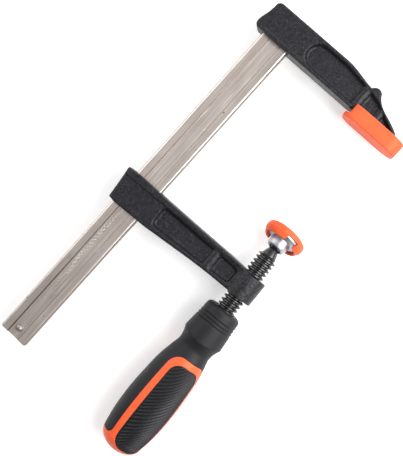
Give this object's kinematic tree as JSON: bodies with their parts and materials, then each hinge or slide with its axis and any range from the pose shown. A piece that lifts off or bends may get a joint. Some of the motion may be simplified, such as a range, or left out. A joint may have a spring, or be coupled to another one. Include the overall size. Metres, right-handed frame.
{
  "type": "f clamp",
  "caption": "Hand clamp: an arm slides on a grooved rail towards a fixed jaw, and a screw with a soft grip presses a swivel pad on the work.",
  "frame": {"origin": "centre of the fixed pad's clamping face, on the mid-plane of the clamp", "axes": "+Y along the rail towards the fixed jaw, +X from the rail towards the jaw tips, +Z through the thickness; the clamp lies on its side"},
  "size_m": [0.133, 0.2903, 0.0348],
  "materials": {
    "rail_steel": "drawn, bright",
    "cast_paint": "fine black texture paint",
    "cap_orange": "satin",
    "spindle_black": "black oxide, oiled",
    "pad_zinc": "bright plated",
    "core_orange": "satin",
    "grip_black": "matt"
  },
  "bodies": {
    "rail": {"rail": "rail_steel", "end_stop_rivet": "rail_steel", "fixed_jaw": "cast_paint", "fixed_pad_cap": "cap_orange"},
    "arm": {"sliding_arm": "cast_paint"},
    "ball": {"spindle_ball": "spindle_black"},
    "screw": {"spindle": "spindle_black", "handle_core": "core_orange", "handle_sleeve": "grip_black", "grip_inset_front": "grip_black", "grip_inset_back": "grip_black"},
    "swivel_pad": {"swivel_cup": "pad_zinc", "swivel_plate": "pad_zinc", "swivel_cap": "cap_orange"}
  },
  "joints": [
    {"name": "arm_slide", "type": "slide", "parent": "rail", "child": "arm", "axis": [0, 1, 0], "range_m": [-0.1, 0.062]},
    {"name": "spindle_travel", "type": "slide", "parent": "arm", "child": "ball", "axis": [-0.0558, 0.9984, 0], "range_m": [-0.0165, 0.0105]},
    {"name": "spindle_turn", "type": "hinge", "parent": "ball", "child": "screw", "pos_m": [0.0068, -0.1336, 0], "axis": [-0.0558, 0.9984, 0], "range_deg": [-1980, 1260]},
    {"name": "pad_tilt", "type": "hinge", "parent": "ball", "child": "swivel_pad", "pos_m": [0.00437, -0.09007, 0], "axis": [1, 0, 0], "range_deg": [-2, 36]}
  ],
  "couplings": [
    {"joint": "spindle_travel", "follows": "spindle_turn", "m_per_rad": 0.00047746}
  ]
}
